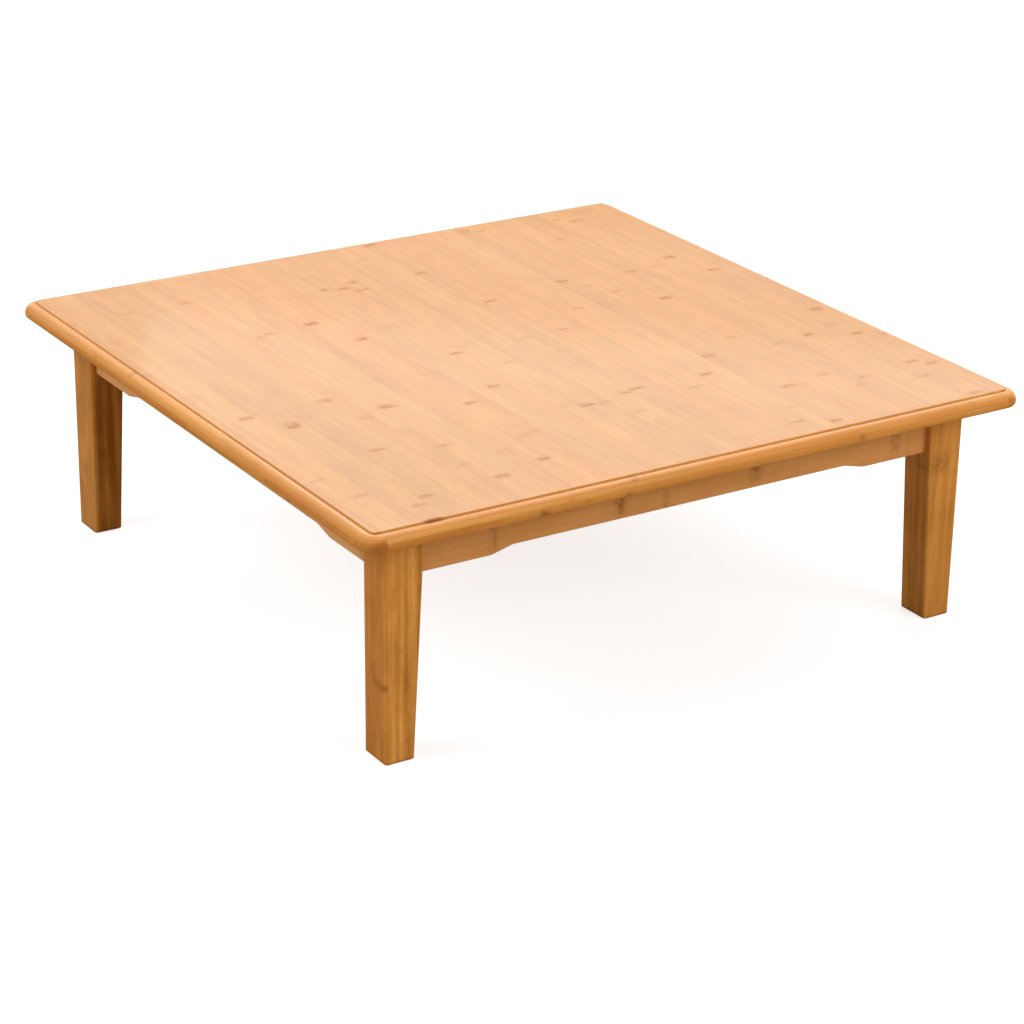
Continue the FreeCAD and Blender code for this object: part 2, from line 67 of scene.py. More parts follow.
# The level directions from corner to corner
RISING, FALLING = (HALF_ROOT, HALF_ROOT, 0.0), (HALF_ROOT, -HALF_ROOT, 0.0)
SIDES = ("front", "rear", "left", "right")
CORNERS = ("front_left", "front_right", "rear_left", "rear_right")


def srgb(red, green, blue):
    """A colour written as it looks on screen, 0 to 255, as the linear RGBA that nodes take."""
    linear = []
    for part in (red, green, blue):
        share = part / 255
        linear.append(share / 12.92 if share <= 0.04045 else ((share + 0.055) / 1.055) ** 2.4)
    return (*linear, 1.0)


class Graph:
    """Adds and links the nodes of one node tree."""

    def __init__(self, tree):
        self.tree = tree

    def add(self, kind, sockets=None, **settings):
        """A new node, with its settings and what goes into its sockets."""
        node = self.tree.nodes.new(kind)
        for name, value in settings.items():
            setattr(node, name, value)
        for key, value in (sockets or {}).items():
            self.feed(node.inputs[key], value)
        return node

    def feed(self, socket, value):
        if isinstance(value, bpy.types.NodeSocket):
            self.tree.links.new(value, socket)
        else:
            socket.default_value = value

    def math(self, operation, first, second=0.0, third=0.0, clamp=False):
        node = self.add("ShaderNodeMath", {0: first, 1: second, 2: third},
                        operation=operation, use_clamp=clamp)
        return node.outputs[0]

    def plus(self, first, second):
        return self.math("ADD", first, second)

    def minus(self, first, second):
        return self.math("SUBTRACT", first, second)

    def times(self, first, second):
        return self.math("MULTIPLY", first, second)

    def over(self, first, second):
        return self.math("DIVIDE", first, second)

    def larger(self, first, second):
        return self.math("MAXIMUM", first, second)

    def smaller(self, first, second):
        return self.math("MINIMUM", first, second)

    def unsigned(self, value):
        return self.math("ABSOLUTE", value)

    def swing(self, value, reach):
        """A value from 0 to 1 as a swing of that reach, half of it to each side of nothing."""
        return self.math("MULTIPLY_ADD", value, reach, -reach / 2)

    def vector(self, x, y, z):
        return self.add("ShaderNodeCombineXYZ", {0: x, 1: y, 2: z}).outputs[0]

    def split(self, vector):
        return self.add("ShaderNodeSeparateXYZ", {0: vector}).outputs

    def shift(self, vector, offset):
        node = self.add("ShaderNodeVectorMath", {0: vector, 1: offset}, operation="ADD")
        return node.outputs[0]

    def scaled(self, vector, scales):
        node = self.add("ShaderNodeVectorMath", {0: vector, 1: scales}, operation="MULTIPLY")
        return node.outputs[0]

    def toward(self, vector, axis):
        """How far a vector reaches in a direction."""
        node = self.add("ShaderNodeVectorMath", {0: vector, 1: axis}, operation="DOT_PRODUCT")
        return node.outputs["Value"]

    def random(self, cell, number):
        """Three random values that stay the same all over one numbered part of a cell."""
        node = self.add("ShaderNodeTexWhiteNoise", {"Vector": cell, "W": number},
                        noise_dimensions="4D")
        return self.split(node.outputs["Color"])

    def noise(self, vector, scale=1.0, detail=2.0, roughness=0.5):
        node = self.add("ShaderNodeTexNoise", {"Vector": vector, "Scale": scale, "Detail": detail,
                                               "Roughness": roughness})
        return node.outputs[0]

    def ease(self, value, start, end, low=0.0, high=1.0):
        """A smooth step from low at start to high at end."""
        node = self.add("ShaderNodeMapRange", {0: value, 1: start, 2: end, 3: low, 4: high},
                        interpolation_type="SMOOTHSTEP")
        return node.outputs[0]

    def mix(self, factor, first, second, blend="MIX"):
        node = self.add("ShaderNodeMix", {0: factor, 6: first, 7: second}, data_type="RGBA",
                        blend_type=blend)
        return node.outputs[2]

    def bump(self, height, strength):
        node = self.add("ShaderNodeBump", {"Strength": strength, "Distance": 1.0, "Height": height})
        return node.outputs[0]

    def show(self, shader, kind="Material"):
        """Makes a shader what the material or the world shows."""
        output = self.add(f"ShaderNodeOutput{kind}")
        self.feed(output.inputs["Surface"], shader.outputs[0])

    def give(self, names, values):
        """Makes values the named outputs of a node group."""
        output = self.add("NodeGroupOutput")
        for name, value in zip(names, values):
            self.feed(output.inputs[name], value)


def new_group(name, inputs, outputs):
    """A node group whose sockets are all numbers, as a graph to fill."""
    tree = bpy.data.node_groups.new(name, "ShaderNodeTree")
    for in_out, sockets in (("INPUT", inputs), ("OUTPUT", outputs)):
        for socket in sockets:
            tree.interface.new_socket(name=socket, in_out=in_out, socket_type="NodeSocketFloat")
    return Graph(tree)


def new_material(name):
    """A material with an empty graph to fill."""
    material = bpy.data.materials.new(name)
    material.use_nodes = True
    material.node_tree.nodes.clear()
    return material, Graph(material.node_tree)


# Bamboo

GRAIN_INPUTS = ("Across", "Depth", "Along", "Width", "Layer", "Segment", "Spacing", "Rarity", "Streak",
                "Seed")
GRAIN_OUTPUTS = ("Tone", "Hue", "Node", "Fibre", "Dash", "Seam", "Broad")
# What keeps the chances of a slat, of the pieces in it and of its rings apart
SLAT_CHANCE, PIECE_CHANCE, RING_CHANCE = 0.5, 5.5, 301.5
# The most that chance moves the pieces and rings of a slat, counted in them, and a pattern, in its steps
PIECE_SCATTER, RING_SCATTER = 13.0, 11.0
PATTERN_SCATTERS = (37.0, 53.0, 71.0)
# How fine each pattern is: its steps to the metre across the slats, and along them
WAVE_FINENESS, PATCH_FINENESS = (90.0, 60.0), (160.0, 160.0)
FIBRE_FINENESS, DASH_FINENESS = (1300.0, 22.0), (1900.0, 150.0)
BROAD_FINENESS_ACROSS = 120.0
# How far a ring strays from the middle of its spacing, as a share of it, and how far it waves
RING_JITTER, RING_WAVE = 0.5, 10 * MM
# How far a ring's soft band reaches at least, and where the finer line in its middle fades
RING_REACH, RING_LINE_START, RING_LINE_END = 5 * MM, 0.2 * MM, 2 * MM
RING_LINE_SHARE = 0.12
SEAM_REACH = 0.35 * MM


def make_grain_group():
    """Laminated bamboo in three dimensions: slats side by side and in layers, made of pieces end to end
    that have tones of their own, and along each the darker rings where the cane had its nodes."""
    graph = new_group("bamboo_grain", GRAIN_INPUTS, GRAIN_OUTPUTS)
    given = graph.add("NodeGroupInput").outputs
    across, depth, along = given["Across"], given["Depth"], given["Along"]

    slat = graph.over(across, given["Width"])
    layer = graph.over(depth, given["Layer"])
    cell = graph.vector(graph.math("FLOOR", slat), graph.math("FLOOR", layer), given["Seed"])
    of_slat = graph.random(cell, SLAT_CHANCE)
    piece = graph.math("MULTIPLY_ADD", of_slat[0], PIECE_SCATTER, graph.over(along, given["Segment"]))
    of_piece = graph.random(cell, graph.plus(graph.math("FLOOR", piece), PIECE_CHANCE))
    offsets = (graph.times(part, scatter) for part, scatter in zip(of_piece, PATTERN_SCATTERS))
    start = graph.vector(*offsets)

    def pattern(crosswise, lengthwise, **settings):
        """A cloudy pattern that starts at a place of its own in each piece."""
        steps = graph.vector(graph.times(across, crosswise), graph.times(depth, crosswise),
                             graph.times(along, lengthwise))
        return graph.noise(graph.shift(steps, start), **settings)

    ring = graph.math("MULTIPLY_ADD", of_slat[1], RING_SCATTER, graph.over(along, given["Spacing"]))
    of_ring = graph.random(cell, graph.plus(graph.math("FLOOR", ring), RING_CHANCE))
    off_middle = graph.minus(graph.math("FRACT", ring), 0.5)
    strayed = graph.plus(off_middle, graph.swing(of_ring[1], RING_JITTER))
    off_ring = graph.times(strayed, given["Spacing"])
    wave = graph.swing(pattern(*WAVE_FINENESS), RING_WAVE)
    distance = graph.unsigned(graph.plus(off_ring, wave))
    reach = graph.math("MULTIPLY_ADD", of_ring[2], RING_REACH, RING_REACH)
    band = graph.ease(distance, 0.0, reach, 1.0, 0.0)
    line = graph.ease(distance, RING_LINE_START, RING_LINE_END, 1.0, 0.0)
    mark = graph.math("MULTIPLY_ADD", line, RING_LINE_SHARE, graph.times(band, 1.0 - RING_LINE_SHARE))

    within = graph.math("FRACT", slat)
    rim = graph.smaller(within, graph.minus(1.0, within))
    patchy = graph.ease(pattern(*PATCH_FINENESS), 0.3, 0.62, 0.45, 1.0)
    strength = graph.math("POWER", of_ring[0], given["Rarity"])
    mark = graph.times(graph.times(mark, patchy), strength)
    mark = graph.times(mark, graph.ease(rim, 0.0, 0.12, 0.35, 1.0))

    broad = pattern(BROAD_FINENESS_ACROSS, given["Streak"], detail=4.0, roughness=0.72)
    fibre = pattern(*FIBRE_FINENESS, detail=3.0, roughness=0.6)
    dash = graph.ease(pattern(*DASH_FINENESS, detail=1.0), 0.60, 0.72)
    seam = graph.ease(graph.times(rim, given["Width"]), 0.0, SEAM_REACH, 1.0, 0.0)
    graph.give(GRAIN_OUTPUTS, (of_piece[0], of_piece[1], mark, fibre, dash, seam, broad))
    return graph.tree


KNOT_INPUTS = ("Across", "Along", "Cloud", "Place across", "Place along", "Breadth", "Length", "Depth")
KNOT_WAVE = 7 * MM


def make_knot_group():
    """A soft brown smudge where a node shows in the face of a slat."""
    graph = new_group("bamboo_knot", KNOT_INPUTS, ("Knot",))
    given = graph.add("NodeGroupInput").outputs
    sideways = graph.minus(given["Across"], given["Place across"])
    sideways = graph.over(graph.unsigned(sideways), given["Breadth"])
    lengthwise = graph.minus(given["Along"], given["Place along"])
    lengthwise = graph.plus(lengthwise, graph.swing(given["Cloud"], KNOT_WAVE))
    lengthwise = graph.over(graph.unsigned(lengthwise), given["Length"])
    body = graph.times(graph.ease(sideways, 0.2, 0.62, 1.0, 0.0), graph.ease(lengthwise, 0.0, 1.0, 1.0, 0.0))
    ragged = graph.ease(given["Cloud"], 0.34, 0.60, 0.35, 1.15)
    graph.give(("Knot",), (graph.times(graph.times(body, ragged), given["Depth"]),))
    return graph.tree


grain_group = make_grain_group()
knot_group = make_knot_group()

# How each kind of wood looks. Its colours are written as they look on screen. Contrast is how far its
# slats differ, drift and blotch how strong their streaks and clouds are, and streak how many streaks end
# in a metre. A higher rarity leaves fewer rings dark, and mark_share is how dark they are. Coat is how
# much lacquer lies on the wood, and gloss the shine of the wood under it.
WOODS = {
    "top": {
        "light": (237, 168, 82), "dark": (212, 141, 60), "mark": (186, 111, 36), "end": (176, 104, 44),
        "contrast": 0.38, "drift": 1.7, "blotch": 0.8, "rarity": 1.8, "streak": 9.0, "mark_share": 0.85,
        "coat": 0.8, "coat_roughness": 0.10, "gloss": 0.0,
    },
    "edge": {
        "light": (253, 178, 91), "dark": (226, 146, 65), "mark": (140, 74, 26), "end": (182, 101, 40),
        "contrast": 0.6, "drift": 1.1, "blotch": 0.6, "rarity": 2.0, "streak": 5.0, "mark_share": 0.6,
        "coat": 0.8, "coat_roughness": 0.16, "gloss": 0.0,
    },
    "apron": {
        "light": (236, 169, 100), "dark": (212, 144, 77), "mark": (140, 82, 30), "end": (170, 104, 44),
        "contrast": 0.8, "drift": 1.3, "blotch": 0.9, "rarity": 2.5, "streak": 5.0, "mark_share": 0.5,
        "coat": 0.05, "coat_roughness": 0.22, "gloss": 0.06,
    },
    # The dark colour of the legs goes deep enough to carry the painted shade of the rear-left leg's front
    # face
    "leg": {
        "light": (252, 174, 85), "dark": (158, 94, 21), "mark": (136, 74, 24), "end": (160, 96, 38),
        "contrast": 1.0, "drift": 1.15, "blotch": 0.8, "rarity": 3.0, "streak": 5.0, "mark_share": 0.45,
        "coat": 0.02, "coat_roughness": 0.18, "gloss": 0.02,
    },
    "inner": {
        "light": (230, 182, 114), "dark": (206, 152, 84), "mark": (156, 106, 54), "end": (180, 128, 70),
        "contrast": 0.9, "drift": 1.1, "blotch": 0.5, "rarity": 0.7, "streak": 5.0, "mark_share": 0.6,
        "coat": 0.0, "coat_roughness": 0.4, "gloss": 0.15,
    },
}
# Tints that darken what they are multiplied with: of the redder slats, and of the nose seen from below,
# which is painted shade
WARM_TINT = (1.0, 0.80, 0.62, 1.0)
NOSE_SHADE_TINT = (0.62, 0.55, 0.40, 1.0)
# The greyer brown painted along the riser's foot as the shade of the step
RISER_SHADE_COLOUR = srgb(196, 166, 108)

# How slats lie in a piece: the directions across, into and along them, in the table's own frame, their
# width and the thickness of a layer, how often a slat ends and has a node, and a seed
Laid = namedtuple("Laid", "across depth along width layer segment spacing seed")
# A knot: its direction across, where it lies across and along, its breadth and length, all in
# millimetres, and how dark it is
Knot = namedtuple("Knot", "crosswise at_across at_along breadth length depth")
# The riser between the strips' low rim and the field: its foot and head, and where it lies in X and Y
Ledge = namedtuple("Ledge", "foot head line_x line_y")

# How fine the clouds are, in steps to the metre, and the share of that which is taken off along the slats
CLOUD_FINENESS, CLOUD_STRETCH = 45.0, 0.7
# How strongly each of these shows where it is at its fullest
WARM_SHARE, FIBRE_SHARE, DASH_SHARE, SEAM_SHARE = 0.35, 0.10, 0.22, 0.28
PORE_SHARE, END_TONE_SHARE, END_SHARE = 0.5, 0.35, 0.85
EDGE_WEAR_AND_HIGHLIGHT_SHARE, FOOT_DARKENING_SHARE, SPELL_SHARE, DEEPEST_KNOT = 0.22, 0.4, 0.6, 0.95
# How much of a slat's tone is chosen where its piece has stripes, and how far the stripes wander
STRIPE_SHARE, STRIPE_WAVE = 0.75, 6 * MM
# How much of the lacquer a full mark takes away
MARK_DULLING = 0.6
# Where a darker spell lies along the riser of the front strip
SPELL_X = -360.5 * MM
# How high the fibres, dashes, seams and rings stand out of the wood, and the waves out of the lacquer
FIBRE_RISE, DASH_RISE, SEAM_RISE, RING_RISE = 0.012 * MM, -0.012 * MM, -0.03 * MM, 0.02 * MM
FLOW_RISE = 0.01 * MM
# The roughness of smooth wood, and what fibres and end grain add to it
SMOOTH_ROUGHNESS, FIBRE_ROUGHNESS, END_ROUGHNESS = 0.36, 0.18, 0.12
LACQUER_IOR = 1.5


class Bamboo:
    """One bamboo material, made in steps from its grain to its lacquer."""

    def __init__(self, name, kind, laid):
        self.look, self.laid = WOODS[kind], laid
        self.material, self.graph = new_material(name)
        graph = self.graph
        self.place = graph.add("ShaderNodeTexCoord").outputs["Object"]
        self.normal = graph.add("ShaderNodeNewGeometry").outputs["Normal"]
        self.up = graph.split(self.normal)[2]
        stretched = graph.scaled(self.place, [1.0 - CLOUD_STRETCH * abs(part) for part in laid.along])
        self.cloud = graph.noise(stretched, scale=CLOUD_FINENESS, detail=3.0)
        self.grain = self.grain_of(laid, self.look)
        self.chance = self.grain["Tone"]

    def grain_of(self, laid, look):
        """The values of the grain of slats that lie so."""
        node = self.graph.add("ShaderNodeGroup", node_tree=grain_group)
        places = (self.graph.toward(self.place, axis) for axis in (laid.across, laid.depth, laid.along))
        values = (*places, laid.width, laid.layer, laid.segment, laid.spacing,
                  look["rarity"], look["streak"], laid.seed)
        for socket, value in zip(GRAIN_INPUTS, values):
            self.graph.feed(node.inputs[socket], value)
        return node.outputs

    def face_of(self, look, grain, chance):
        """The colour of the faces along the slats, and how marked by rings they are."""
        graph = self.graph
        tone = graph.plus(graph.swing(chance, look["contrast"]), 0.5)
        tone = graph.plus(tone, graph.swing(grain["Broad"], look["drift"]))
        tone = graph.plus(tone, graph.swing(self.cloud, look["blotch"]))
        tone = graph.math("MAXIMUM", tone, 0.0, clamp=True)
        colour = graph.mix(tone, srgb(*look["dark"]), srgb(*look["light"]))
        warm = graph.ease(grain["Hue"], 0.45, 1.0, 0.0, WARM_SHARE)
        colour = graph.mix(warm, colour, WARM_TINT, "MULTIPLY")
        fibres = graph.ease(grain["Fibre"], 0.32, 0.66, FIBRE_SHARE, 0.0)
        dashes = graph.times(grain["Dash"], DASH_SHARE)
        seams = graph.times(grain["Seam"], SEAM_SHARE)
        marks = graph.times(grain["Node"], look["mark_share"])
        for share in (fibres, dashes, seams, marks):
            colour = graph.mix(share, colour, srgb(*look["mark"]))
        return colour, marks

    def choose_stripes(self, tones, span):
        """Gives the slats between two places across a piece tones that are mostly chosen."""
        graph = self.graph
        wave = graph.swing(graph.noise(self.place, scale=22.0, detail=2.0), STRIPE_WAVE)
        reach = graph.plus(graph.toward(self.place, self.laid.across), wave)
        share = graph.over(graph.minus(reach, span[0]), span[1] - span[0])
        ramp = graph.add("ShaderNodeValToRGB", {0: share})
        ramp.color_ramp.interpolation = "EASE"
        stops = ramp.color_ramp.elements
        while len(stops) < len(tones):
            stops.new(0.5)
        for number, (stop, tone) in enumerate(zip(stops, tones)):
            stop.position = (number + 0.5) / len(tones)
            stop.color = (tone, tone, tone, 1.0)
        chosen = graph.times(ramp.outputs[0], STRIPE_SHARE)
        self.chance = graph.math("MULTIPLY_ADD", self.chance, 1.0 - STRIPE_SHARE, chosen)

    def paint(self):
        self.colour, self.marks = self.face_of(self.look, self.grain, self.chance)

    def cover(self, share, look_colour):
        """Covers a share of the surface with one of the wood's own colours."""
        self.colour = self.graph.mix(share, self.colour, srgb(*self.look[look_colour]))

    def add_knots(self, knots):
        graph = self.graph
        ragged = graph.noise(self.place, scale=110.0, detail=3.0)
        deepest = 0.0
        for knot in knots:
            node = graph.add("ShaderNodeGroup", {
                "Across": graph.toward(self.place, knot.crosswise),
                "Along": graph.toward(self.place, self.laid.along), "Cloud": ragged,
                "Place across": knot.at_across * MM, "Place along": knot.at_along * MM,
                "Breadth": knot.breadth * MM, "Length": knot.length * MM, "Depth": knot.depth,
            }, node_tree=knot_group)
            deepest = graph.larger(deepest, node.outputs[0])
        deepest = graph.smaller(deepest, DEEPEST_KNOT)
        self.cover(deepest, "mark")
        self.marks = graph.larger(self.marks, deepest)

    def add_coat(self):
        """Lacquer on all faces but those that look down."""
        self.coat = self.graph.times(self.graph.ease(self.up, -0.3, 0.1), self.look["coat"])

    def add_ledge(self, ledge):
        """Makes an edge strip one with the field inside the riser, with painted shade browning its nose
        where it turns down, a painted shade line, dull and pale, along the riser's foot, and one darker
        spell."""
        graph, look, field_look = self.graph, self.look, WOODS["top"]
        x, y, z = graph.split(self.place)
        outside = graph.larger(graph.minus(graph.unsigned(x), ledge.line_x),
                               graph.minus(graph.unsigned(y), ledge.line_y))

        raised = graph.times(graph.ease(outside, -0.6 * MM, 0.2 * MM, 1.0, 0.0),
                             graph.ease(z, ledge.foot + 0.6 * MM, ledge.foot + 1.4 * MM))
        field_grain = self.grain_of(FIELD, field_look)
        field_colour, field_marks = self.face_of(field_look, field_grain, field_grain["Tone"])
        self.colour = graph.mix(raised, self.colour, field_colour)
        self.marks = graph.math("MULTIPLY_ADD", raised, graph.minus(field_marks, self.marks), self.marks)
        self.coat = graph.larger(graph.ease(self.up, 0.1, 0.95, 0.06, look["coat"]),
                                 graph.times(raised, field_look["coat"]))

        # Painted shade: outside the riser the nose is browned more the further it turns down from the light
        low = graph.times(graph.ease(self.up, 0.0, 0.85, 0.55, 0.0),
                          graph.ease(outside, 1.0 * MM, 3.0 * MM))
        self.colour = graph.mix(low, self.colour, NOSE_SHADE_TINT, "MULTIPLY")

        # Painted shade: the riser's face, strongest at its foot, takes the greyer brown of the shaded step
        line = graph.times(graph.ease(outside, 0.2 * MM, 1.1 * MM, 1.0, 0.0),
                           graph.ease(z, ledge.foot + 0.8 * MM, ledge.head, 0.5, 0.0))
        line = graph.times(line, graph.ease(outside, -1.0 * MM, -0.5 * MM))
        self.colour = graph.mix(line, self.colour, RISER_SHADE_COLOUR)

        off_x = graph.unsigned(graph.minus(x, SPELL_X))
        off_y = graph.unsigned(graph.plus(y, ledge.line_y))
        spell = graph.times(graph.ease(off_x, 6 * MM, 16 * MM, 1.0, 0.0),
                            graph.ease(off_y, 1.5 * MM, 5.5 * MM, 1.0, 0.0))
        self.cover(graph.times(spell, SPELL_SHARE), "mark")
        self.marks = graph.larger(self.marks, spell)

    def dull_marks(self):
        """Takes some of the lacquer off the dark marks."""
        kept = self.graph.math("MULTIPLY_ADD", self.marks, -MARK_DULLING, 1.0)
        self.coat = self.graph.times(self.coat, kept)

    def darken_foot(self):
        """Darkens the last few millimetres above the floor toward the mark colour, most at the floor."""
        height = self.graph.split(self.place)[2]
        self.cover(self.graph.ease(height, 0.5 * MM, 6 * MM, FOOT_DARKENING_SHARE, 0.0), "mark")

    def show_ends(self):
        """Gives the faces across the slats their end grain, with the pores of the cane."""
        graph, look = self.graph, self.look
        self.end_face = graph.ease(graph.unsigned(graph.toward(self.normal, self.laid.along)), 0.55, 0.95)
        pores = graph.add("ShaderNodeTexVoronoi", {"Vector": self.place, "Scale": 1400.0})
        pore = graph.ease(pores.outputs["Distance"], 0.12, 0.42, 1.0, 0.0)
        ends = graph.mix(graph.times(pore, PORE_SHARE), srgb(*look["end"]), srgb(*look["mark"]))
        ends = graph.mix(graph.times(self.grain["Tone"], END_TONE_SHARE), ends, srgb(*look["dark"]))
        self.colour = graph.mix(graph.times(self.end_face, END_SHARE), self.colour, ends)

    def wear_and_highlight_edges(self):
        """Lightens the rounded edges in patches: partly sanded, scuffed wear, partly a painted highlight on
        the rounding.
        """
        graph = self.graph
        x, y, z = (graph.unsigned(part) for part in graph.split(self.normal))
        rounding = graph.ease(graph.larger(graph.larger(x, y), z), 0.80, 0.985, 1.0, 0.0)
        scuffed = graph.ease(graph.noise(self.place, scale=45.0, detail=4.0), 0.42, 0.62, 0.25, 1.0)
        self.cover(graph.times(graph.times(rounding, scuffed), EDGE_WEAR_AND_HIGHLIGHT_SHARE), "light")

    def finish(self):
        """Puts the colour, the relief and the lacquer together."""
        graph, grain, look = self.graph, self.grain, self.look
        height = graph.times(grain["Fibre"], FIBRE_RISE)
        for output, rise in (("Dash", DASH_RISE), ("Seam", SEAM_RISE), ("Node", RING_RISE)):
            height = graph.math("MULTIPLY_ADD", grain[output], rise, height)
        flow = graph.times(graph.noise(self.place, scale=220.0, detail=2.0), FLOW_RISE)
        rough = graph.math("MULTIPLY_ADD", grain["Fibre"], FIBRE_ROUGHNESS, SMOOTH_ROUGHNESS)
        rough = graph.math("MULTIPLY_ADD", self.end_face, END_ROUGHNESS, rough)
        graph.show(graph.add("ShaderNodeBsdfPrincipled", {
            "Base Color": self.colour, "Roughness": rough, "Normal": graph.bump(height, 0.8),
            "Specular IOR Level": look["gloss"], "Coat Weight": self.coat,
            "Coat Roughness": look["coat_roughness"], "Coat IOR": LACQUER_IOR,
            "Coat Normal": graph.bump(flow, 0.5),
        }))
        return self.material


def bamboo(name, kind, laid, edges_worn_and_lit=True, knots=(), stripes=(), span=(), ledge=None, stands=False):
    """A bamboo material, with what its piece has of knots and stripes that stand out, of the ledge and
    of a foot on the floor."""
    wood = Bamboo(name, kind, laid)
    if stripes:
        wood.choose_stripes(stripes, span)
    wood.paint()
    if knots:
        wood.add_knots(knots)
    wood.add_coat()
    if ledge:
        wood.add_ledge(ledge)
    wood.dull_marks()
    if stands:
        wood.darken_foot()
    wood.show_ends()
    # Rounded edges lightened: scuffed wear and a painted highlight
    if edges_worn_and_lit:
        wood.wear_and_highlight_edges()
    return wood.finish()


# Width, layer, segment and spacing of the slats in each kind of piece, in millimetres, and the seed of
# the first such piece
SLATS = {
    "field": (20.24, 50, 9000, 250, 3.0),
    "edge_strip": (5, 500, 190, 310, 11.0),
    "apron": (9, 700, 5000, 145, 21.0),
    "leg": (8, 700, 3000, 210, 31.0),
    "brace": (22, 10, 3000, 190, 41.0),
    "batten": (20, 6, 3000, 290, 51.0),
    "cleat": (10, 500, 5000, 300, 61.0),
}


def laid_in(kind, across, depth, along, number=0):
    """How the slats lie in one of the pieces of a kind, told apart by its number."""
    *lengths, seed = SLATS[kind]
    return Laid(across, depth, along, *(length * MM for length in lengths), seed + number)


FIELD = laid_in("field", X_AXIS, Z_AXIS, Y_AXIS)
# Knots that stand out, in millimetres from the table's middle and the floor
TOP_KNOTS = tuple(Knot(X_AXIS, *knot) for knot in (
    (-360, -117, 23, 18, 0.72), (-237, -116, 21, 9, 0.88), (-289, -66, 20, 9, 0.72),
    (-143, -157, 21, 8, 0.72), (-145, 101, 21, 10, 0.80), (345, -161, 21, 9, 0.67),
    (402, -187, 20, 9, 0.72), (-92, 289, 20, 10, 0.67), (-46, 298, 20, 10, 0.67),
    (-243, -257, 20, 8, 0.61), (397, -302, 20, 8, 0.61), (-165, -346, 21, 9, 0.64),
    (-335, -375, 21, 8, 0.64),
))
FRONT_APRON_KNOTS = tuple(Knot(Z_AXIS, *knot) for knot in (
    (256, -257, 80, 9, 0.50), (256, -90, 60, 12, 0.75), (258, 99, 60, 13, 0.65), (256, 305, 60, 12, 0.55),
    (256, -229, 9, 14, 0.75), (256, -203, 8, 9, 0.50),
))
FRONT_STRIP_KNOTS = tuple(Knot(Z_AXIS, *knot) for knot in (
    (284, -229, 12, 12, 0.55), (283, -120, 9, 9, 0.40), (287, 205, 12, 10, 0.35),
))
# A direction nearly square to the left faces, along which a knot there ends just round the corner
ROUND_CORNER = (1.0, 0.12, 0.0)
LEG_KNOTS = {
    "front_left": (Knot(ROUND_CORNER, -448, 94, 7.5, 9, 0.52), Knot(Y_AXIS, -373, 104, 15, 32, 0.35),
                   Knot(Y_AXIS, -362, 188, 22, 12, 0.15), Knot(X_AXIS, -372, 96, 9, 18, 0.30)),
    "front_right": (Knot(X_AXIS, 368, 205, 32, 20, 0.45), Knot(Y_AXIS, -386, 200, 22, 8, 0.35)),
    "rear_left": (Knot(Y_AXIS, 378, 84, 18, 10, 0.35), Knot(X_AXIS, -385, 110, 14, 12, 0.40)),
    "rear_right": (Knot(Y_AXIS, 380, 120, 22, 10, 0.40),),
}
# Tones across the striped faces of each leg, from its left or its front on. The rear-left leg's low tones
# are painted shade on its front face under the top, and the front-left leg's last tone is painted shade
# along its right edge
LEG_STRIPES = {
    # Painted shade: the last tone is low for the shaded right edge of the leg
    "front_left": (0.88, 0.86, 0.48, 0.82, 0.36, 0.66, 0.52, 0.18),
    "front_right": (0.80, 0.54, 0.78, 0.46, 0.78, 0.52, 0.72, 0.42),
    # Painted shade: nearly all dark, for the front face that lies in the shade under the top
    "rear_left": (0.62, 0.10, 0.00, 0.16, 0.00, 0.16, 0.00, 0.00),
    "rear_right": (0.66, 0.50, 0.66, 0.55, 0.60, 0.66, 0.50, 0.38),
}
# How far the riser lies inside the top's edge, how far the rim lies below the field, and how far down
# the field's own edge is rounded
LEDGE_WIDTH, LEDGE_DROP, FIELD_EASE = 15 * MM, 2 * MM, 0.6 * MM


def dress(node, material):
    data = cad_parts[node].data
    data.materials.clear()
    data.materials.append(material)


def dress_side(number, side, ledge):
    """The edge strip, the apron and the cleat of one side."""
    along, outward = (Y_AXIS, X_AXIS) if side in ("left", "right") else (X_AXIS, Y_AXIS)
    in_front = side == "front"
    dress(f"edge_strip_{side}",
          bamboo(f"edge_wood_{side}", "edge", laid_in("edge_strip", Z_AXIS, outward, along, number),
                 edges_worn_and_lit=False, knots=FRONT_STRIP_KNOTS if in_front else (), ledge=ledge))
    dress(f"apron_{side}",
          bamboo(f"apron_wood_{side}", "apron", laid_in("apron", outward, Z_AXIS, along, number),
                 knots=FRONT_APRON_KNOTS if in_front else ()))
    dress(f"cleat_{side}",
          bamboo(f"cleat_wood_{side}", "inner", laid_in("cleat", Z_AXIS, outward, along, number)))


def dress_corner(number, corner):
    """The leg and the brace of one corner."""
    low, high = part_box(f"leg_{corner}")
    if corner.endswith("right"):
        stacked, broad, span = Y_AXIS, X_AXIS, (low.y, high.y)
    else:
        stacked, broad, span = X_AXIS, Y_AXIS, (low.x, high.x)
    dress(f"leg_{corner}",
          bamboo(f"leg_wood_{corner}", "leg", laid_in("leg", stacked, broad, Z_AXIS, number),
                 knots=LEG_KNOTS[corner], stripes=LEG_STRIPES[corner], span=span, stands=True))
    falls = corner in ("front_left", "rear_right")
    length, through = (FALLING, RISING) if falls else (RISING, FALLING)
    dress(f"brace_{corner}",
          bamboo(f"brace_wood_{corner}", "inner", laid_in("brace", Z_AXIS, through, length, number)))


